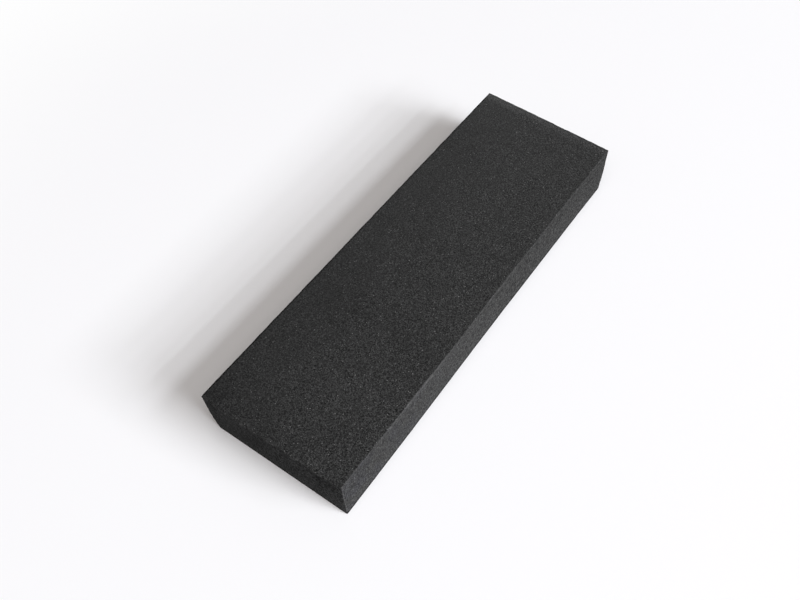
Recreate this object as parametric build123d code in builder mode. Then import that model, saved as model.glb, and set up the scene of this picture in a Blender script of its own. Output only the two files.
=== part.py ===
from build123d import *
import os

# A block of closed-cell foam, cut from a thicker slab and lying on one of its two broad faces.
# X runs across the width, Y along the length and Z up. The origin is the centre of the underside.

# Overall size, in millimetres
length = 200.0
width = 65.0
thickness = 25.0

# The near end, where the soft foam gave way under the blade: its upper edge swells out past the
# straight lower one. The swell is highest at its crest, left of the middle. It still stands out
# at the left corner, and has died away at the right one
near_end_bulge = 1.1
left_corner_bulge = 0.7
crest_from_middle = 8.0

# Softness of the cuts: the four upright corners, which are sharper at their upper end, and the
# edges round the two broad faces
upper_corner_radius = 0.5
lower_corner_radius = 1.2
edge_radius = 0.3

# Places worked out from the sizes
side = width / 2
far_end = length / 2
near_foot = near_end_bulge - length / 2
crest = -crest_from_middle
left_of_crest = (crest - side) / 2
right_of_crest = (crest + side) / 2

with BuildPart() as foam_block:
    # The outline at the underside, where the near end is straight, and at the upper face
    for height, swell, corner_radius in (
        (0, 0, lower_corner_radius),
        (thickness, 1, upper_corner_radius),
    ):
        near_edge = near_foot - swell * near_end_bulge
        left_end = near_foot - swell * left_corner_bulge
        with BuildSketch(Plane.XY.offset(height)) as outline:
            with BuildLine():
                Polyline((side, near_foot), (side, far_end), (-side, far_end), (-side, left_end))
                Bezier((-side, left_end), (left_of_crest, near_edge), (crest, near_edge))
                Bezier((crest, near_edge), (right_of_crest, near_edge), (side, near_foot))
            make_face()
            across = outline.vertices().group_by(Axis.X)
            fillet(across[0] + across[-1], corner_radius)

    # Straight cuts from one outline to the other
    loft(ruled=True)

    # The edges round the broad faces are crisp, but softened by the foam's own give
    broad_faces = foam_block.faces().filter_by(Axis.Z)
    fillet(broad_faces.edges(), edge_radius)

foam_block.part.label = "foam_block"

os.makedirs("parts", exist_ok=True)
export_step(foam_block.part, "parts/foam_block.step")
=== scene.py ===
import math

import bmesh
import bpy
import numpy as np
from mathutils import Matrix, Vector, noise


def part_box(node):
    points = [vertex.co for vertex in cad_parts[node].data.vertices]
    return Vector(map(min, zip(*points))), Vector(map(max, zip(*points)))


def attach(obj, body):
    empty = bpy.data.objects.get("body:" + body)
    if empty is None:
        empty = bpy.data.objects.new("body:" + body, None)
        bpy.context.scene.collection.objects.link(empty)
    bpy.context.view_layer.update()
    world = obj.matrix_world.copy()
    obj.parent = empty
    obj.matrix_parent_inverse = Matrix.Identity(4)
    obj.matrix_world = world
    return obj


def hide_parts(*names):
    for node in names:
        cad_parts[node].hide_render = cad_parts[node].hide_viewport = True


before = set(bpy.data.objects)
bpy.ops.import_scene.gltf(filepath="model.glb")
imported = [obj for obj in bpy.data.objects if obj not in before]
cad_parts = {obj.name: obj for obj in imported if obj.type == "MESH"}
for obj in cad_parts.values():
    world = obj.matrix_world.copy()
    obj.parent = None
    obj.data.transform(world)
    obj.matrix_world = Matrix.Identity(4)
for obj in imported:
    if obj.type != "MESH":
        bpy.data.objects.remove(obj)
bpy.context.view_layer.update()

bl_info = {
    "name": "Foam Block",
    "version": (1, 0, 0),
    "blender": (4, 5, 0),
    "location": "3D View > Sidebar > Foam Block",
    "description": "A cut block of fine-celled black foam, lying on a pale table by a window",
    "category": "Object",
}

LOW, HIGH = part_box("foam_block")
MM = 0.001
WHITE = (1.0, 1.0, 1.0, 1)

# Rings of faces lie at these distances from every edge, in millimetres, and the even net begins after them
EDGE_RINGS = (0, 0.1, 0.22, 0.4, 0.7, 1.1)
EVEN_NET_FROM = 1.6

# How far each of the four cuts stands out from square, along its upper rim and along its foot: pairs of a
# place along the cut and the stand-out there, in millimetres. The near end's rim swells, because the foam
# gave way under the blade.
CUTS = {
    "near": (
        ((-32.5, 0.75), (-29.4, 0.8), (-27, 1.0), (-23.5, 1.0), (-20.9, 1.24), (-18.4, 1.18), (-14.2, 1.5),
         (-10.5, 1.28), (-6.0, 0.95), (-2.6, 1.2), (1.0, 0.84), (4.6, 0.58), (8.0, 0.85), (11.3, 1.0),
         (15, 0.76), (18, 0.74), (21.3, 0.86), (25, 0.55), (27.5, 0.5), (30, 0.18), (32.5, -0.32)),
        ((-32.5, 0), (32.5, 0))),
    "right": (
        ((-99, -0.35), (-92, -0.22), (-80, 0.02), (-60, 0.05), (-45, 0.08), (-27, 0.3), (-12, 0.14),
         (5, -0.03), (25, 0.03), (38, 0.1), (52, -0.1), (68, 0.1), (80, 0.2), (95, 0.22), (100, 0.35)),
        ((-99, 0.25), (-62, 0.27), (-37, 0.14), (-12, -0.03), (13, -0.08), (38, 0.03), (80, 0.14),
         (100, 0.4))),
    "far": (
        ((-32.5, 0.45), (-20, 0.42), (-8, 0.32), (0, 0.25), (20, 0.12), (32.5, -0.1)),
        ((-32.5, 0.4), (32.5, 0.45))),
    "left": (
        ((-99, 0.12), (100, 0.14)),
        ((-99, -0.25), (-85, -0.1), (100, 0))),
}

# The length over which a cut's line is smoothed, and the depths inside a cut between which its lean dies away
SMOOTHED_OVER = 2 * MM
LEAN_FADES = (1 * MM, 7 * MM)

# Where the near end's rim is rolled over: place across, half width and extra rounding, in millimetres
ROLLED_RIM = ((-20.5, 6.5, 0.6), (-30.0, 3.0, 0.4))

# Hollows pressed into the near end: place across the end, height, half width, half height and depth in
# millimetres, and how much painted shade darkens each hollow
HOLLOWS = (
    (-28.6, 17.5, 3.0, 5.2, 0.60, 0.06),
    (-27.4, 21.8, 2.4, 3.2, 0.05, 0.32),
    (-12.0, 14.0, 5.4, 9.0, 0.18, 0.13),
    (-6.6, 16.0, 2.0, 5.0, 0.04, 0.08),
    (-2.6, 21.6, 2.1, 2.8, 0.20, 0.24),
    (1.8, 22.6, 2.2, 1.6, 0.06, 0.10),
    (8.0, 22.4, 3.0, 1.6, 0.04, 0.12),
    (13.5, 19.0, 3.0, 6.5, 0.04, 0.10),
    (22.2, 21.8, 2.6, 3.6, 0.24, 0.36),
    (21.6, 15.0, 2.6, 5.0, 0.05, 0.14),
    (27.2, 20.6, 2.0, 4.0, 0.36, 0.26),
    (-11.0, 8.4, 1.2, 1.2, 0.10, 0.16),
    (3.1, 14.9, 0.7, 1.4, 0.08, 0.20),
    (-2.2, 7.4, 0.9, 1.6, 0.08, 0.16),
    (1.8, 11.0, 0.8, 1.6, 0.06, 0.14),
)

# Painted highlights on the near end, where slivers of torn foam catch the light: place across, height, half
# width and half height in millimetres, and strength
SLIVERS = (
    (-30.4, 24.6, 1.6, 0.6, 0.20),
    (-16.2, 22.2, 0.5, 1.8, 0.42),
    (-13.0, 24.9, 0.8, 0.6, 0.25),
    (2.6, 24.9, 1.4, 0.7, 0.45),
    (11.9, 24.8, 0.6, 0.8, 0.60),
    (18.9, 18.2, 0.4, 1.3, 0.30),
    (21.8, 12.6, 0.4, 1.2, 0.28),
    (14.2, 14.9, 0.4, 1.2, 0.24),
    (5.6, 17.7, 0.9, 1.4, 0.16),
    (-1.8, 9.1, 0.5, 1.4, 0.26),
)

# How much paler the right side is just under its rim: pairs of a place along the block, in millimetres, and
# the extra light there
PALE_RIM = (
    (-100, 0.08), (-82, 0.02), (-72, 0.14), (-58, 0.28), (-48, 0.34), (-36, 0.18), (-24, 0.06), (-8, 0.03),
    (6, 0.24), (16, 0.26), (28, 0.02), (100, 0.03))

# Painted highlights of beads of torn foam under the right side's rim: place along the block and depth under
# the rim in millimetres, and strength
BEADS = (
    (-90.0, 0.6, 0.5), (-69.0, 0.7, 0.6), (-62.6, 0.7, 1.0), (-58.9, 0.7, 1.3), (-56.4, 0.8, 0.8),
    (-52.5, 0.5, 1.3), (-47.5, 1.0, 1.4), (-43.2, 2.5, 1.9), (4.5, 1.5, 1.2), (9.0, 1.0, 1.5))

# Steps of the soft bumps that the blade left, coarse and fine, and of the torn cells along the edges
COARSE_STEP = 4.2 * MM
FINE_STEP = 1.6 * MM
TORN_STEP = 2.1 * MM

# The foam's noises, as steps in a metre: how the rims are torn, how the cells are bent, where the foam is
# more open, its wide and its narrow clouds, the mottling of the cuts, how the worn edges are broken, and the
# clouds of colder black
TORN_STEPS = 1300.0
BENT_STEPS = 900.0
OPEN_STEPS = 150.0
WIDE_STEPS = 55.0
NARROW_STEPS = 420.0
MOTTLE_STEPS = 1250.0
BROKEN_STEPS = 600.0
COLD_STEPS = 110.0

# Nearly all of a noise lies between these two values
NOISE_REACH = (0.3, 0.7)

# How dark and how light the foam gets, as shares of its colour: from the pit of a cell, whose darkness is
# partly the foam's own and partly painted shade, to its wall, from bit to bit, from grit to grit, from one
# wide cloud or narrow cloud to the next, and along a worn edge
CUP_TONES = (0.55, 1.3)
BIT_TONES = (0.35, 1.65)
GRIT_TONES = (0.4, 1.6)
WIDE_TONES = (0.96, 1.04)
NARROW_TONES = (0.98, 1.02)
BROKEN_TONES = (0.3, 1.7)

# How much paler a cell wall's painted glint, the rims of the long sides and their upright corners are
WALL_GLINT = 9.0
RIM_LIGHT = 0.14
CORNER_LIGHT = 0.34

# Depth of the cells for the bump of the finish, and how much of it and of the grain is left on the cuts
CELL_DEPTH = 0.1 * MM
CUT_DEPTH = 0.45
CUT_GRAIN = 0.5

# Clouds of a warmer and a colder black on the near half of the long sides, as shares of their colour
WARM_TINT = (1.004, 1.0, 0.985)
COLD_TINT = (0.985, 0.985, 1.03)

# The table turns plain white between these distances from a place to the right of the block, clear of the
# shadow
TABLE_RADIUS = 12.0
WHITE_CENTRE = (0.1, 0.0, 0.0)
WHITE_FADES = (0.25, 0.45)

# The window stands to the right. Each of its lamps has a name, its place as slopes to the right and away from
# the camera, its width and length as slopes too, and its share of the light on the table. A slope is a
# distance from the block over the lamp's height, so a lamp with a greater slope to the right hangs lower.
WINDOW_AWAY = 7.0
WINDOW_PANES = (
    ("pane_top", 1.05, 0.16, 0.26, 1.00, 0.220),
    ("pane_gap", 1.28, 0.16, 0.14, 0.60, 0.014),
    ("pane_2", 1.42, 0.14, 0.09, 0.60, 0.084),
    ("pane_3", 1.635, 0.25, 0.13, 1.20, 0.060),
    ("pane_4", 1.89, 0.25, 0.14, 1.20, 0.060),
    ("pane_5", 2.27, 0.10, 0.26, 1.40, 0.088),
    ("pane_low", 2.80, 0.40, 0.72, 1.00, 0.095),
)

# The ceiling lamp's height, its two corners as shares of that height, and its share of the light. The room
# round it gives a little back from everywhere.
CEILING_UP = 6.0
CEILING_LOW = (-0.14, -1.05, 1.0)
CEILING_HIGH = (0.73, 0.18, 1.0)
CEILING_SHARE = 0.355
ROOM_STRENGTH = 0.1

# The camera's place in metres, its turn in degrees, and the shift of its picture in picture widths
CAMERA_PLACE = (0.12026, -0.17404, 0.30574)
CAMERA_TURN = (33.726, -1.748, 33.589)
CAMERA_SHIFT = (-0.070625, 0.010625)


# Sizes and colours that a user would change

class FoamBlockShape(bpy.types.PropertyGroup):
    spacing: bpy.props.FloatProperty(
        name="Face Size", description="Length of the mesh's faces away from the edges",
        default=0.00072, min=0.0005, max=0.005, unit="LENGTH", precision=5)
    corner_radius: bpy.props.FloatProperty(
        name="Corner Radius", description="Rounding of the sharp upright corners",
        default=0.0004, min=0.0002, max=0.005, unit="LENGTH", precision=5)
    soft_corner_radius: bpy.props.FloatProperty(
        name="Soft Corner Radius",
        description="Rounding of the near left and far right corners at their foot",
        default=0.0024, min=0.0002, max=0.005, unit="LENGTH", precision=5)
    edge_radius: bpy.props.FloatProperty(
        name="Edge Radius", description="Rounding of the edges round the two broad faces",
        default=0.00025, min=0.0001, max=0.003, unit="LENGTH", precision=5)
    near_foot: bpy.props.FloatProperty(
        name="Near Foot", description="How far the near end's foot stands back from the end of the block",
        default=0.001, min=0.0, max=0.005, unit="LENGTH", precision=5)
    face_relief: bpy.props.FloatProperty(
        name="Face Relief", description="Height of the bumps that the blade left on the broad faces",
        default=0.00006, min=0.0, max=0.001, unit="LENGTH", precision=5)
    edge_relief: bpy.props.FloatProperty(
        name="Edge Relief", description="How far the torn cells stand out along the edges",
        default=0.00014, min=0.0, max=0.001, unit="LENGTH", precision=5)


class FoamBlockFinish(bpy.types.PropertyGroup):
    face_colour: bpy.props.FloatVectorProperty(
        name="Face Colour", description="Colour of the open cells on the broad faces",
        default=(0.0378, 0.0381, 0.0377), min=0.0, max=1.0, size=3, subtype="COLOR")
    side_colour: bpy.props.FloatVectorProperty(
        name="Side Colour", description="Colour of the smoother cuts along the two long sides",
        default=(0.0440, 0.0438, 0.0436), min=0.0, max=1.0, size=3, subtype="COLOR")
    end_colour: bpy.props.FloatVectorProperty(
        name="End Colour", description="Colour of the pressed cuts at the two ends",
        default=(0.0335, 0.0340, 0.0339), min=0.0, max=1.0, size=3, subtype="COLOR")
    cell_size: bpy.props.FloatProperty(
        name="Cell Size", description="Width of the foam's cells",
        default=0.00085, min=0.0002, max=0.005, unit="LENGTH", precision=5)
    grain: bpy.props.FloatProperty(
        name="Grain", description="Contrast between the cells and their walls",
        default=0.81, min=0.0, max=1.0, subtype="FACTOR")
    roughness: bpy.props.FloatProperty(
        name="Roughness", description="Roughness of the cell walls",
        default=0.92, min=0.0, max=1.0, subtype="FACTOR")


class FoamBlockStudio(bpy.types.PropertyGroup):
    floor_colour: bpy.props.FloatVectorProperty(
        name="Floor Colour", description="Colour of the pale table",
        default=(0.965, 0.965, 0.97), min=0.0, max=1.0, size=3, subtype="COLOR")
    window_colour: bpy.props.FloatVectorProperty(
        name="Window Colour", description="Colour of the daylight from the window",
        default=(0.96, 0.985, 1.03), min=0.0, soft_max=1.0, size=3, subtype="COLOR")
    room_colour: bpy.props.FloatVectorProperty(
        name="Room Colour", description="Colour of the light that the room gives back",
        default=(1.05, 1.0, 0.975), min=0.0, soft_max=1.0, size=3, subtype="COLOR")
    lens: bpy.props.FloatProperty(
        name="Lens", description="Focal length of the camera",
        default=37.974, min=10.0, max=200.0, unit="CAMERA")


# Reading and writing meshes

def read_points(mesh):
    flat = np.empty(len(mesh.vertices) * 3)
    mesh.vertices.foreach_get("co", flat)
    return flat.reshape(-1, 3)


def write_points(mesh, points):
    mesh.vertices.foreach_set("co", points.astype(np.float32).ravel())
    mesh.update()


def read_normals(mesh):
    flat = np.empty(len(mesh.vertices) * 3, np.float32)
    mesh.vertices.foreach_get("normal", flat)
    return flat.reshape(-1, 3).astype(float)


def mark(mesh, name, values):
    """Writes one number for each point, for the finish to read."""
    attribute = mesh.attributes.new(name, "FLOAT", "POINT")
    attribute.data.foreach_set("value", np.asarray(values, np.float32))


def only(context, piece):
    """Leaves this one object selected and active."""
    bpy.ops.object.select_all(action="DESELECT")
    piece.select_set(True)
    context.view_layer.objects.active = piece


# Soft steps and bumps

def smooth_step(low, high, value):
    """0 up to low and 1 from high on, with a soft rise between them."""
    share = np.clip((value - low) / (high - low), 0, 1)
    return share * share * (3 - 2 * share)


def heap(across, width):
    """A soft bump: 1 at its middle, and almost nothing two widths away."""
    return np.exp(-(across / width) ** 2)


# Building the body

def cut_places(low, high, spacing):
    """Places of the rings of faces from one side to the other, close together beside the edges."""
    beside = np.array(EDGE_RINGS) * MM
    first, last = low + EVEN_NET_FROM * MM, high - EVEN_NET_FROM * MM
    inner = np.linspace(first, last, round((last - first) / spacing) + 1)
    return np.concatenate((low + beside, inner, (high - beside)[::-1]))


def divided_slab(context, low, high, spacing):
    """A box whose six sides are cut into a fine net of squares."""
    bpy.ops.object.select_all(action="DESELECT")
    bpy.ops.mesh.primitive_cube_add(size=1, location=(low + high) / 2, scale=high - low)
    slab = context.active_object
    bpy.ops.object.transform_apply(location=True, rotation=True, scale=True)
    places = [cut_places(low[axis], high[axis], spacing) for axis in range(3)]
    bpy.ops.object.mode_set(mode="EDIT")
    bpy.ops.mesh.select_mode(type="EDGE")
    for axis in range(3):
        net = bmesh.from_edit_mesh(slab.data)
        whole = high[axis] - low[axis]
        for edge in net.edges:
            run = edge.verts[1].co - edge.verts[0].co
            edge.select_set(abs(run[axis]) > 0.9 * whole)
        net.select_flush_mode()
        bmesh.update_edit_mesh(slab.data)
        bpy.ops.mesh.subdivide(number_cuts=len(places[axis]) - 2)
    bpy.ops.object.mode_set(mode="OBJECT")

    # The even cuts move to the places chosen for them
    points = read_points(slab.data)
    for axis in range(3):
        share = (points[:, axis] - low[axis]) / (high[axis] - low[axis])
        points[:, axis] = places[axis][np.rint(share * (len(places[axis]) - 1)).astype(int)]
    write_points(slab.data, points)
    return slab


def square_to_round(a, b):
    """Moves points of a square corner, given from its inner centre, onto a round one."""
    reach = np.maximum(abs(a), abs(b))
    length = np.maximum(np.hypot(a, b), 1e-12)
    return a * reach / length, b * reach / length


def corner_radii(points, low, high, shape):
    """Corner radius at each point: two of the four upright corners grow softer towards their foot."""
    share = (points - low) / (high - low)
    near_left = (share[:, 0] < 0.5) & (share[:, 1] < 0.5)
    far_right = (share[:, 0] > 0.5) & (share[:, 1] > 0.5)
    softer = (near_left | far_right) * (1 - share[:, 2]) ** 4
    return (shape.corner_radius + softer * (shape.soft_corner_radius - shape.corner_radius))[:, None]


def rim_radii(points, low, high, shape):
    """Rim radius at each point: the near end's upper rim is rolled over beside the near left corner, and a
    little further along."""
    upper = (points[:, 1] < low[1] + 4 * MM) & (points[:, 2] > high[2] / 2)
    rolled = np.zeros(len(points))
    for place, width, extra in ROLLED_RIM:
        rolled += extra * MM * heap(points[:, 0] - place * MM, width * MM)
    return shape.edge_radius + rolled * upper


def round_corners(points, low, high, radii):
    """Rounds the four upright corners."""
    core = np.clip(points[:, :2], low[:2] + radii, high[:2] - radii)
    away = points[:, :2] - core
    away[:, 0], away[:, 1] = square_to_round(away[:, 0], away[:, 1])
    points[:, :2] = core + away


def round_rims(points, low, high, corners, radius):
    """Rounds the edges round the two broad faces. The radius may differ from point to point."""
    core = np.clip(points[:, :2], low[:2] + corners, high[:2] - corners)
    corner = corners[:, 0]
    away = points[:, :2] - core
    reach = np.hypot(away[:, 0], away[:, 1])
    depth = corner - reach
    top = points[:, 2] > (low[2] + high[2]) / 2
    sink = np.where(top, high[2] - points[:, 2], points[:, 2] - low[2])
    near = (depth < radius) & (sink < radius) & (reach > 1e-9)
    a = np.where(near, radius - depth, 0)
    b = np.where(near, radius - sink, 0)
    a, b = square_to_round(a, b)
    new_reach = np.where(near, corner - radius + a, reach)
    new_sink = np.where(near, radius - b, sink)
    points[:, :2] = core + away * (new_reach / np.maximum(reach, 1e-12))[:, None]
    points[:, 2] = np.where(top, high[2] - new_sink, low[2] + new_sink)


def along(line, place):
    """How far a cut stands out at a place, along a soft curve through the line's pairs."""
    places, stands = np.array(line).T * MM
    fine = np.linspace(places[0], places[-1], 600)
    curve = np.interp(fine, places, stands)
    window = max(3, round(SMOOTHED_OVER / (fine[1] - fine[0])) // 2 * 2 + 1)
    curve = np.convolve(np.pad(curve, window // 2, mode="edge"), np.ones(window) / window, mode="valid")
    return np.interp(place, fine, curve)


def lean_cuts(points, low, high):
    """Moves each of the four cuts out to its rim line and its foot line."""
    height = np.clip((points[:, 2] - low[2]) / (high[2] - low[2]), 0, 1)
    for name, run, axis, outward in (
            ("near", 0, 1, -1), ("far", 0, 1, 1), ("left", 1, 0, -1), ("right", 1, 0, 1)):
        rim, foot = CUTS[name]
        inside = points[:, axis] - low[axis] if outward < 0 else high[axis] - points[:, axis]
        stand = height * along(rim, points[:, run]) + (1 - height) * along(foot, points[:, run])
        points[:, axis] += outward * stand * (1 - smooth_step(*LEAN_FADES, inside))


def press_hollows(points, near_end):
    """Presses the hollows into the near end, and gives the painted shade that darkens each point in them."""
    dark = np.zeros(len(points))
    for x, z, half_width, half_height, depth, darker in HOLLOWS:
        across = (points[:, 0] / MM - x) / half_width
        up = (points[:, 2] / MM - z) / half_height
        bowl = np.exp(-(across ** 2 + up ** 2) ** 1.2) * near_end
        points[:, 1] += depth * MM * bowl
        dark += darker * bowl
    return dark


def ripples(points, size, seed):
    """Soft noise of about one step a size, from -1 to 1, at each point. Each seed has a place of its own."""
    shift = Vector((seed * 7.31, seed * 3.17, seed * 5.53))
    scale = 1 / size
    return np.array([noise.fractal(Vector(p) * scale + shift, 0.9, 2.0, 2) for p in points.tolist()])


def roughen(mesh, low, high, shape):
    """Raises the blade's soft bumps on the faces and the torn cells along the edges."""
    points, normals = read_points(mesh), read_normals(mesh)
    faces = abs(normals[:, 2]) > 0.5
    inside = np.minimum(points - low, high - points)
    from_edge = np.sort(inside, axis=1)[:, 1]
    edge = 1 - smooth_step(0.4 * MM, 2.2 * MM, from_edge)
    coarse = ripples(points, COARSE_STEP, 1)
    fine = ripples(points, FINE_STEP, 2)
    torn = ripples(points, TORN_STEP, 3)
    amount = np.where(faces, shape.face_relief, 0.7 * shape.face_relief)
    push = amount * (0.45 * coarse + 0.75 * fine) + shape.edge_relief * edge * torn * 0.8

    # The foot stays almost smooth, and nothing sinks into the table
    standing = smooth_step(0.0, 0.8 * MM, points[:, 2] - low[2])
    points += normals * (push * (0.15 + 0.85 * standing))[:, None]
    points[:, 2] = np.maximum(points[:, 2], low[2])
    write_points(mesh, points)


# Marking the body for its finish

def mark_cuts(mesh, low, high):
    """Writes how far each point lies past the rims and the upright corners, in millimetres.

    past_rim grows from the rims over the four cuts and falls in over the broad faces. past_corner grows from
    the corners over the ends and falls along the long sides."""
    points = read_points(mesh)
    inside = np.minimum(points - low, high - points) / MM
    past_rim = inside[:, 2] - np.minimum(inside[:, 0], inside[:, 1])
    past_corner = inside[:, 0] - inside[:, 1]
    mark(mesh, "past_rim", past_rim)
    mark(mesh, "past_corner", past_corner)
    return past_rim, past_corner


def openness(points, low, high, near_end):
    """How strongly the cells show at each point: least along the left edge and at the far end, and most on
    the near end beside the left corner."""
    across, length, _ = ((points - low) / (high - low)).T
    open_side = smooth_step(0.0, 0.6, across)
    open_cells = 0.84 + 0.42 * open_side - 0.30 * length - 0.12 * open_side * length
    return open_cells + 0.8 * near_end * heap(across - 0.06, 0.1)


def blade_marks(points, low, high, near_end):
    """How strongly the blade's mottling shows at each point of the cuts: most at the far end of the right
    side."""
    across, length, _ = ((points - low) / (high - low)).T
    on_right = smooth_step(0.6, 0.95, across) * (1 - smooth_step(0.985, 0.995, length))
    on_near = near_end * (0.15 + 0.32 * smooth_step(0.15, 0.55, across))
    return 0.4 + (0.15 + 0.45 * length) * on_right + on_near


def face_shade(across, length, from_left, from_far):
    """How light the broad faces are: painted sheen of the window's light on the cell walls, darkest by the
    near left corner, with a dark line along the left rim and a pale band just inside the far one. The last
    two values are distances in millimetres."""
    # Painted sheen: darker towards the near end, and most on the left
    shade = 0.98 - (1 - length) * (0.12 + 0.19 * np.clip(1 - across, 0, 1) ** 1.5)

    # Darker in a band a third of the way along, behind the near rim, and most by the near left corner
    shade -= 0.07 * heap(length - 0.32, 0.07) + 0.05 * heap(length - 0.03, 0.05)
    shade -= 0.12 * heap(length, 0.045) * heap(across - 0.09, 0.07)

    # Paler towards the far rim by painted sheen, with its band and its thin dark line
    shade += 0.11 * smooth_step(0.8, 1.0, length) * (1 - across)
    shade += (0.64 - 0.26 * across) * (1 - smooth_step(0.8, 5.0, from_far)) - 0.55 * heap(from_far, 0.8)
    return shade - 0.52 * heap(from_left, 0.6) * (across < 0.5)


def side_shade(length, up, from_foot):
    """How light the long sides are: palest low down at the near end, with a dark line of painted contact
    shadow along the foot.
    """
    lower_half = up < 0.5
    shade = 1 + 0.06 * heap(length - 0.32, 0.15) - 0.07 * smooth_step(0.45, 1.0, length)
    shade -= 0.05 * smooth_step(0.5, 0.9, up) * smooth_step(0.4, 0.6, length)
    shade += (0.05 + 0.07 * (1 - smooth_step(0.1, 0.3, length))) * (1 - smooth_step(0.1, 0.5, up))
    shade += 0.06 * heap(from_foot - 2.8, 0.9) * lower_half
    # Painted contact shadow along the foot
    return shade - 0.80 * heap(from_foot, 1.2) * lower_half


def end_shade(across, up, from_foot, dark):
    """How light the ends are: painted shade in the hollows, and painted bounce light from the table low down
    and most at the foot of the right corner, with a dark line of painted contact shadow along the foot."""
    lower_half = up < 0.5
    # Painted bounce light low down, painted shade in the hollows, and darker beside the left corner
    shade = 1 + 0.08 * (1 - smooth_step(0.05, 0.5, up)) - dark - 0.07 * heap(across - 0.02, 0.05)
    # More painted bounce light at the foot of the right corner
    shade += 0.14 * smooth_step(0.84, 0.98, across) * (1 - smooth_step(0.4, 0.75, up))
    shade += 0.10 * heap(across - 0.22, 0.07) * heap(up - 0.75, 0.2)
    shade += 0.20 * heap(from_foot - 2.9, 1.0) * lower_half
    # Painted contact shadow along the foot
    return shade - 0.66 * heap(from_foot, 1.2) * lower_half


def shades(points, low, high, past_rim, past_corner, dark):
    """How light the foam is at each point, as a share of its finish's colour. It holds painted sheen on the
    broad faces, painted bounce light and contact shadow on the cuts, and painted shade in the hollows.
    """
    across, length, up = ((points - low) / (high - low)).T
    inside = np.minimum(points - low, high - points) / MM
    from_far = (high - points)[:, 1] / MM
    face = face_shade(across, length, inside[:, 0], from_far)
    side = side_shade(length, up, inside[:, 2])
    end = end_shade(across, up, inside[:, 2], dark)
    on_cut = smooth_step(-0.05, 0.1, past_rim)
    on_end = on_cut * smooth_step(-0.05, 0.1, past_corner)
    return face * (1 - on_cut) + side * (on_cut - on_end) + end * on_end


def slivers(points, high, near_end):
    """Painted highlights where torn cells catch the light, slivers on the near end and beads along the right
    side's rim, and a paler band under that rim.
    """
    x, y, z = (points / MM).T
    under = high[2] / MM - z
    lit = np.zeros(len(points))
    for across, height, half_width, half_height, strength in SLIVERS:
        lit += strength * heap(x - across, half_width) * heap(z - height, half_height) * near_end
    pale = np.interp(y, *np.array(PALE_RIM).T) * heap(under - 1.0, 0.9)
    for length, depth, strength in BEADS:
        pale += strength * heap(y - length, 0.6) * heap(under - depth, 0.55)
    on_right = smooth_step(-1.2 * MM, -0.4 * MM, points[:, 0] - high[0])
    return lit + pale * on_right


# Building the finishes

class Nodes:
    """Adds nodes to a tree and joins them, in the order of their work."""

    def __init__(self, tree):
        self.tree = tree
        tree.nodes.clear()
        self.column = 0

    def add(self, kind, inputs=None, **settings):
        made = self.tree.nodes.new(kind)
        made.location = (self.column * 180, -(self.column % 5) * 160)
        self.column += 1
        for name, value in settings.items():
            setattr(made, name, value)
        for name, value in (inputs or {}).items():
            if isinstance(value, bpy.types.NodeSocket):
                self.tree.links.new(value, made.inputs[name])
            else:
                made.inputs[name].default_value = value
        return made

    def maths(self, operation, first, second=0.0, third=0.0):
        return self.add("ShaderNodeMath", {0: first, 1: second, 2: third}, operation=operation).outputs[0]

    def times(self, first, second):
        return self.maths("MULTIPLY", first, second)

    def scaled(self, vector, factor):
        made = self.add("ShaderNodeVectorMath", {0: vector, "Scale": factor}, operation="SCALE")
        return made.outputs[0]

    def spread(self, value, low, high, new_low, new_high, kind="LINEAR"):
        made = self.add("ShaderNodeMapRange", interpolation_type=kind, inputs={
            "Value": value, "From Min": low, "From Max": high, "To Min": new_low, "To Max": new_high})
        return made.outputs["Result"]

    def blend(self, factor, first, second):
        """Mixes two colours. The node has several sockets of each name, so numbers tell them apart."""
        return self.add("ShaderNodeMix", {0: factor, 6: first, 7: second}, data_type="RGBA").outputs[2]

    def clouds(self, place, scale, detail=2.0, roughness=0.5):
        """Soft noise round 0.5, with so many steps in a metre."""
        return self.add("ShaderNodeTexNoise", {
            "Vector": place, "Scale": scale, "Detail": detail, "Roughness": roughness}).outputs["Fac"]

    def written(self, name):
        """A number that the mesh holds for each of its points."""
        return self.add("ShaderNodeAttribute", attribute_name=name).outputs["Fac"]

    def seen(self):
        """1 for what the camera sees, also in a mirror or through glass, and 0 for what only gives light."""
        path = self.add("ShaderNodeLightPath").outputs
        direct = self.maths("MAXIMUM", path["Is Camera Ray"], path["Is Glossy Ray"])
        return self.maths("MAXIMUM", direct, path["Is Transmission Ray"])


def new_material(name):
    """A material, its empty tree, and the place on the object."""
    material = bpy.data.materials.new(name)
    material.use_nodes = True
    n = Nodes(material.node_tree)
    return material, n, n.add("ShaderNodeTexCoord").outputs["Object"]


def cut_masks(n, place, past_rim, past_corner):
    """Where the cuts begin, and where the end cuts begin, torn a little along the rims."""
    torn = n.spread(n.clouds(place, TORN_STEPS, 2.0, 0.6), 0.25, 0.75, -0.34, 0.34)
    cut = n.spread(n.maths("ADD", past_rim, torn), -0.05, 0.15, 0.0, 1.0, "SMOOTHSTEP")
    past_torn_corner = n.maths("ADD", past_corner, n.times(torn, 0.5))
    end = n.spread(past_torn_corner, -0.02, 0.1, 0.0, 1.0, "SMOOTHSTEP")
    return cut, end


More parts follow.
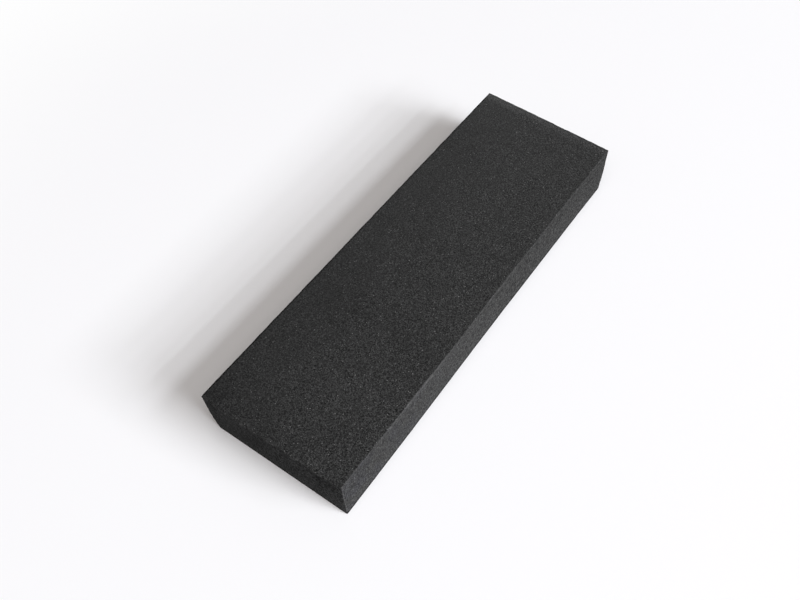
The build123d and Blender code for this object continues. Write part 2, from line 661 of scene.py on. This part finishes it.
def cell_grain(n, place, cut, finish):
    """Cells, each a dark cup inside paler walls, the cup's darkness partly painted shade, made of bits with
    tones of their own, and grit finer still.

    Gives the light of the grain, how strongly it shows, and the height of the cups."""
    wobble = n.add("ShaderNodeTexNoise", {"Vector": place, "Scale": BENT_STEPS, "Detail": 1.0})
    moved = n.scaled(wobble.outputs["Color"], 0.4 * MM)
    bent = n.add("ShaderNodeVectorMath", {0: place, 1: moved}, operation="ADD").outputs[0]
    cells = n.add("ShaderNodeTexVoronoi", {"Vector": bent, "Scale": 1 / finish.cell_size})
    # The cup's dark pit is partly the foam's own tone and partly painted shade
    cup = n.spread(cells.outputs["Distance"], 0.15, 0.55, *CUP_TONES, "SMOOTHSTEP")
    bits = n.add("ShaderNodeTexVoronoi", {"Vector": bent, "Scale": 3 / finish.cell_size})
    tone = n.add("ShaderNodeSeparateColor", {"Color": bits.outputs["Color"]}).outputs[0]
    own = n.spread(tone, 0.0, 1.0, *BIT_TONES)
    grit = n.spread(n.clouds(place, 2.4 / finish.cell_size, 2.0, 0.7), *NOISE_REACH, *GRIT_TONES)
    grain = n.times(n.times(own, cup), grit)

    # The cuts are calmer than the broad faces, and some stretches are more open than others
    open_cells = n.spread(n.clouds(place, OPEN_STEPS, 1.0), 0.35, 0.65, 0.85, 1.15)
    calm = n.spread(cut, 0.0, 1.0, 1.0, CUT_GRAIN)
    strength = n.times(n.times(calm, open_cells), n.times(n.written("open"), finish.grain))
    grain = n.maths("MULTIPLY_ADD", n.maths("SUBTRACT", grain, 1.0), strength, 1.0)
    height = n.times(n.times(cup, grit), n.spread(cut, 0.0, 1.0, 1.0, CUT_DEPTH))
    return grain, strength, height


def blotches(n, place, cut):
    """Larger clouds of lighter and darker foam, and the mottling that the blade left on the cuts."""
    wide = n.spread(n.clouds(place, WIDE_STEPS), *NOISE_REACH, *WIDE_TONES)
    narrow = n.spread(n.clouds(place, NARROW_STEPS), *NOISE_REACH, *NARROW_TONES)
    patch = n.times(wide, narrow)
    taller = (1.0, 1.0, 0.6)
    stretched = n.add("ShaderNodeVectorMath", {0: place, 1: taller}, operation="MULTIPLY").outputs[0]
    mottle = n.spread(n.clouds(stretched, MOTTLE_STEPS, 3.0, 0.8), *NOISE_REACH, -1.0, 1.0)
    mottle = n.maths("MULTIPLY_ADD", n.times(mottle, n.written("marks")), cut, 1.0)
    return n.times(patch, mottle)


def wall_glints(n, place, strength, finish):
    """Painted glints on cell walls, few and far between."""
    walls = n.add("ShaderNodeTexVoronoi", {"Vector": place, "Scale": 1.2 / finish.cell_size})
    chance = n.add("ShaderNodeSeparateColor", {"Color": walls.outputs["Color"]}).outputs[1]
    lit = n.spread(walls.outputs["Distance"], 0.14, 0.26, 1.0, 0.0, "SMOOTHSTEP")
    chosen = n.maths("POWER", n.spread(chance, 0.70, 1.0, 0.0, 1.0), 2.0)
    return n.times(n.times(lit, chosen), n.times(strength, WALL_GLINT))


def worn_edges_and_glints(n, place, on_side, past_rim, past_corner):
    """Paler foam along the rims and the upright corners of the long sides, where the cells are torn, and the
    painted highlights where torn slivers and beads catch the light."""
    broken = n.spread(n.clouds(place, BROKEN_STEPS), 0.35, 0.65, *BROKEN_TONES)
    rim = n.times(on_side, n.spread(past_rim, 0.3, 1.2, 1.0, 0.0, "SMOOTHSTEP"))
    upright = n.times(on_side, n.spread(past_corner, -0.6, -0.2, 0.0, 1.0, "SMOOTHSTEP"))
    lightened = n.maths("ADD", n.times(rim, RIM_LIGHT), n.times(upright, CORNER_LIGHT))
    return n.times(n.maths("ADD", lightened, n.written("sliver_glint")), broken)


def foam_colour(n, place, cut, end, finish):
    """The colours of the broad faces, the long sides and the ends."""
    y = n.add("ShaderNodeSeparateXYZ", {"Vector": place}).outputs["Y"]
    cold_clouds = n.spread(n.clouds(place, COLD_STEPS), 0.4, 0.6, 0.0, 1.0)
    cold = n.times(cold_clouds, n.spread(y, -0.09, -0.02, 1.0, 0.0))
    warm_side, cold_side = (
        (*(colour * share for colour, share in zip(finish.side_colour, tint)), 1)
        for tint in (WARM_TINT, COLD_TINT))
    sides = n.blend(cold, warm_side, cold_side)
    cuts = n.blend(end, sides, (*finish.end_colour, 1))
    return n.blend(cut, (*finish.face_colour, 1), cuts)


def foam_finish(finish):
    """Charcoal foam: fine cells with dark cups and a few painted wall glints, and smoother cuts round the
    sides.
    """
    material, n, place = new_material("charcoal_foam")
    past_rim, past_corner = n.written("past_rim"), n.written("past_corner")
    cut, end = cut_masks(n, place, past_rim, past_corner)
    on_side = n.maths("SUBTRACT", cut, n.times(cut, end))
    grain, strength, height = cell_grain(n, place, cut, finish)
    patch = blotches(n, place, cut)
    # Painted glints on a few cell walls
    spark = wall_glints(n, place, strength, finish)
    # Paler rims and corners, and the painted highlights of torn slivers and beads
    lightened = worn_edges_and_glints(n, place, on_side, past_rim, past_corner)
    shade = n.maths("ADD", n.times(grain, patch), n.maths("ADD", spark, lightened))
    # The shade mark paints sheen, bounce light, contact shadow and the hollows' shade into the colour
    shade = n.times(shade, n.written("shade"))
    colour = n.scaled(foam_colour(n, place, cut, end, finish), shade)
    bump = n.add("ShaderNodeBump", {"Height": height, "Distance": CELL_DEPTH, "Strength": 0.5})
    shader = n.add("ShaderNodeBsdfPrincipled", {
        "Base Color": colour, "Roughness": finish.roughness, "Specular IOR Level": 0.0,
        "Normal": bump.outputs["Normal"]})
    n.add("ShaderNodeOutputMaterial", {"Surface": shader.outputs["BSDF"]})
    return material


def table_finish(studio):
    """The pale table: it takes the shadow near the block, and turns plain white far from it."""
    material, n, place = new_material("pale_table")
    far = n.add("ShaderNodeVectorMath", {0: place, 1: WHITE_CENTRE}, operation="DISTANCE").outputs["Value"]
    far = n.spread(far, *WHITE_FADES, 0.0, 1.0, "SMOOTHSTEP")
    glowing = n.times(far, n.seen())
    paper = n.add("ShaderNodeBsdfDiffuse", {"Color": (*studio.floor_colour, 1)})
    glow = n.add("ShaderNodeEmission", {"Color": WHITE, "Strength": 1.0})
    both = n.add("ShaderNodeMixShader", {0: glowing, 1: paper.outputs[0], 2: glow.outputs[0]})
    n.add("ShaderNodeOutputMaterial", {"Surface": both.outputs[0]})
    return material


# Setting the stage

def add_table(context, studio):
    """A round table, wide enough to fill the picture."""
    bpy.ops.object.select_all(action="DESELECT")
    bpy.ops.mesh.primitive_circle_add(
        vertices=96, radius=TABLE_RADIUS, fill_type="NGON", location=(0, 0, 0))
    table = context.active_object
    table.name = table.data.name = "table"
    table.data.materials.append(table_finish(studio))


def add_lamp(context, name, low, high, facing, share, colour):
    """A flat lamp between two corners of an upright or level rectangle, which gives the table that share of
    white light."""
    centre = (low + high) / 2
    bpy.ops.object.select_all(action="DESELECT")
    bpy.ops.object.light_add(type="AREA", location=centre)
    lamp = context.active_object
    lamp.name = name
    lamp.rotation_euler = facing.to_track_quat("-Z", "Y").to_euler()
    lamp.data.shape = "RECTANGLE"
    size = high - low
    level = abs(facing.z) > 0.5
    lamp.data.size, lamp.data.size_y = (size.x, size.y) if level else (size.y, size.z)

    # A lamp of one watt makes white paper shine with fall / (pi * away) ** 2
    away = centre.length
    fall = (centre.z / away) * (-facing.dot(centre) / away)
    lamp.data.energy = share * math.pi ** 2 * away ** 2 / fall
    lamp.data.color = colour
    lamp.visible_camera = False


def add_window(context, studio):
    """The window's lamps, one over the other in an upright plane that faces the block."""
    for name, right, back, width, length, share in WINDOW_PANES:
        middle = WINDOW_AWAY / right
        top, foot = WINDOW_AWAY / (right - width / 2), WINDOW_AWAY / (right + width / 2)
        low = Vector((WINDOW_AWAY, middle * (back - length / 2), foot))
        high = Vector((WINDOW_AWAY, middle * (back + length / 2), top))
        add_lamp(context, name, low, high, Vector((-1, 0, 0)), share, studio.window_colour)


def add_ceiling(context, studio):
    """The level lamp over the table, which stands for the light that the room's ceiling gives back."""
    low, high = (Vector([CEILING_UP * share for share in corner]) for corner in (CEILING_LOW, CEILING_HIGH))
    add_lamp(context, "ceiling", low, high, Vector((0, 0, -1)), CEILING_SHARE, studio.room_colour)


def add_room(scene, studio):
    """The room's faint light, with plain white where the camera looks past the table."""
    world = bpy.data.worlds.new("room")
    scene.world = world
    world.use_nodes = True
    n = Nodes(world.node_tree)
    seen = n.seen()
    room = n.add("ShaderNodeBackground", {"Color": (*studio.room_colour, 1), "Strength": ROOM_STRENGTH})
    white = n.add("ShaderNodeBackground", {"Color": WHITE, "Strength": 1.0})
    both = n.add("ShaderNodeMixShader", {0: seen, 1: room.outputs[0], 2: white.outputs[0]})
    n.add("ShaderNodeOutputWorld", {"Surface": both.outputs[0]})


def add_camera(context, studio):
    """The camera, which looks down on the block over its near right corner."""
    turn = [math.radians(angle) for angle in CAMERA_TURN]
    bpy.ops.object.camera_add(location=CAMERA_PLACE, rotation=turn)
    camera = context.active_object
    camera.name = "camera"
    camera.data.lens = studio.lens
    camera.data.sensor_width = 36
    camera.data.shift_x, camera.data.shift_y = CAMERA_SHIFT
    camera.data.clip_start, camera.data.clip_end = 0.01, 100
    context.scene.camera = camera


class FOAMBLOCK_OT_body(bpy.types.Operator):
    """Cuts the foam block: a slab with crisp edges, whose near end swells out along its upper edge"""
    bl_idname = "foamblock.body"
    bl_label = "Foam Body"
    bl_options = {"REGISTER", "UNDO"}

    def execute(self, context):
        shape, finish = context.scene.foam_block_shape, context.scene.foam_block_finish

        # The slab ends at the near end's foot, and the near rim is moved out from there
        low = Vector((LOW.x, -HIGH.y + shape.near_foot, LOW.z))
        high = HIGH.copy()
        body = divided_slab(context, low, high, shape.spacing)
        body.name = body.data.name = "foam_body"
        low, high = np.array(low), np.array(high)
        past_rim, past_corner = mark_cuts(body.data, low, high)

        # Corners, rims and hollows, and the marks that the finish reads before the cuts lean
        points = read_points(body.data)
        near_end = 1 - smooth_step(0.2 * MM, 1.6 * MM, points[:, 1] - low[1])
        rims = rim_radii(points, low, high, shape)
        corners = corner_radii(points, low, high, shape)
        round_corners(points, low, high, corners)
        round_rims(points, low, high, corners, rims)
        dark = press_hollows(points, near_end)
        # The shade mark: painted sheen, bounce light, contact shadow and shade in the hollows
        mark(body.data, "shade", shades(points, low, high, past_rim, past_corner, dark))
        # Painted highlights of the torn slivers and beads
        mark(body.data, "sliver_glint", slivers(points, high, near_end))
        mark(body.data, "open", openness(points, low, high, near_end))
        mark(body.data, "marks", blade_marks(points, low, high, near_end))
        lean_cuts(points, low, high)
        write_points(body.data, points)

        only(context, body)
        bpy.ops.object.shade_smooth()
        roughen(body.data, low, high, shape)
        body.data.materials.append(foam_finish(finish))
        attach(body, "root")
        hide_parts("foam_block")
        return {"FINISHED"}


class FOAMBLOCK_OT_stage(bpy.types.Operator):
    """Sets the pale table, the window and the room's light round the block, and the camera over it"""
    bl_idname = "foamblock.stage"
    bl_label = "Stage"
    bl_options = {"REGISTER", "UNDO"}

    def execute(self, context):
        studio = context.scene.foam_block_studio
        add_table(context, studio)
        add_window(context, studio)
        add_ceiling(context, studio)
        add_room(context.scene, studio)
        add_camera(context, studio)
        context.scene.view_settings.view_transform = "Standard"
        return {"FINISHED"}


class FOAMBLOCK_PT_panel(bpy.types.Panel):
    """Lists the block's sizes, its finish and its studio, and builds it"""
    bl_idname = "FOAMBLOCK_PT_panel"
    bl_label = "Foam Block"
    bl_space_type = "VIEW_3D"
    bl_region_type = "UI"
    bl_category = "Foam Block"

    def draw(self, context):
        layout = self.layout
        for title, group, operator in (
                ("Shape", context.scene.foam_block_shape, None),
                ("Finish", context.scene.foam_block_finish, "foamblock.body"),
                ("Studio", context.scene.foam_block_studio, "foamblock.stage")):
            box = layout.box()
            box.label(text=title)
            for name in group.__annotations__:
                box.prop(group, name)
            if operator:
                box.operator(operator)


CLASSES = (
    FoamBlockShape, FoamBlockFinish, FoamBlockStudio,
    FOAMBLOCK_OT_body, FOAMBLOCK_OT_stage, FOAMBLOCK_PT_panel,
)


def register():
    for made in CLASSES:
        bpy.utils.register_class(made)
    bpy.types.Scene.foam_block_shape = bpy.props.PointerProperty(type=FoamBlockShape)
    bpy.types.Scene.foam_block_finish = bpy.props.PointerProperty(type=FoamBlockFinish)
    bpy.types.Scene.foam_block_studio = bpy.props.PointerProperty(type=FoamBlockStudio)


def unregister():
    del bpy.types.Scene.foam_block_studio
    del bpy.types.Scene.foam_block_finish
    del bpy.types.Scene.foam_block_shape
    for made in reversed(CLASSES):
        bpy.utils.unregister_class(made)


def main():
    register()
    bpy.ops.foamblock.body()
    bpy.ops.foamblock.stage()


if __name__ == "__main__":
    main()
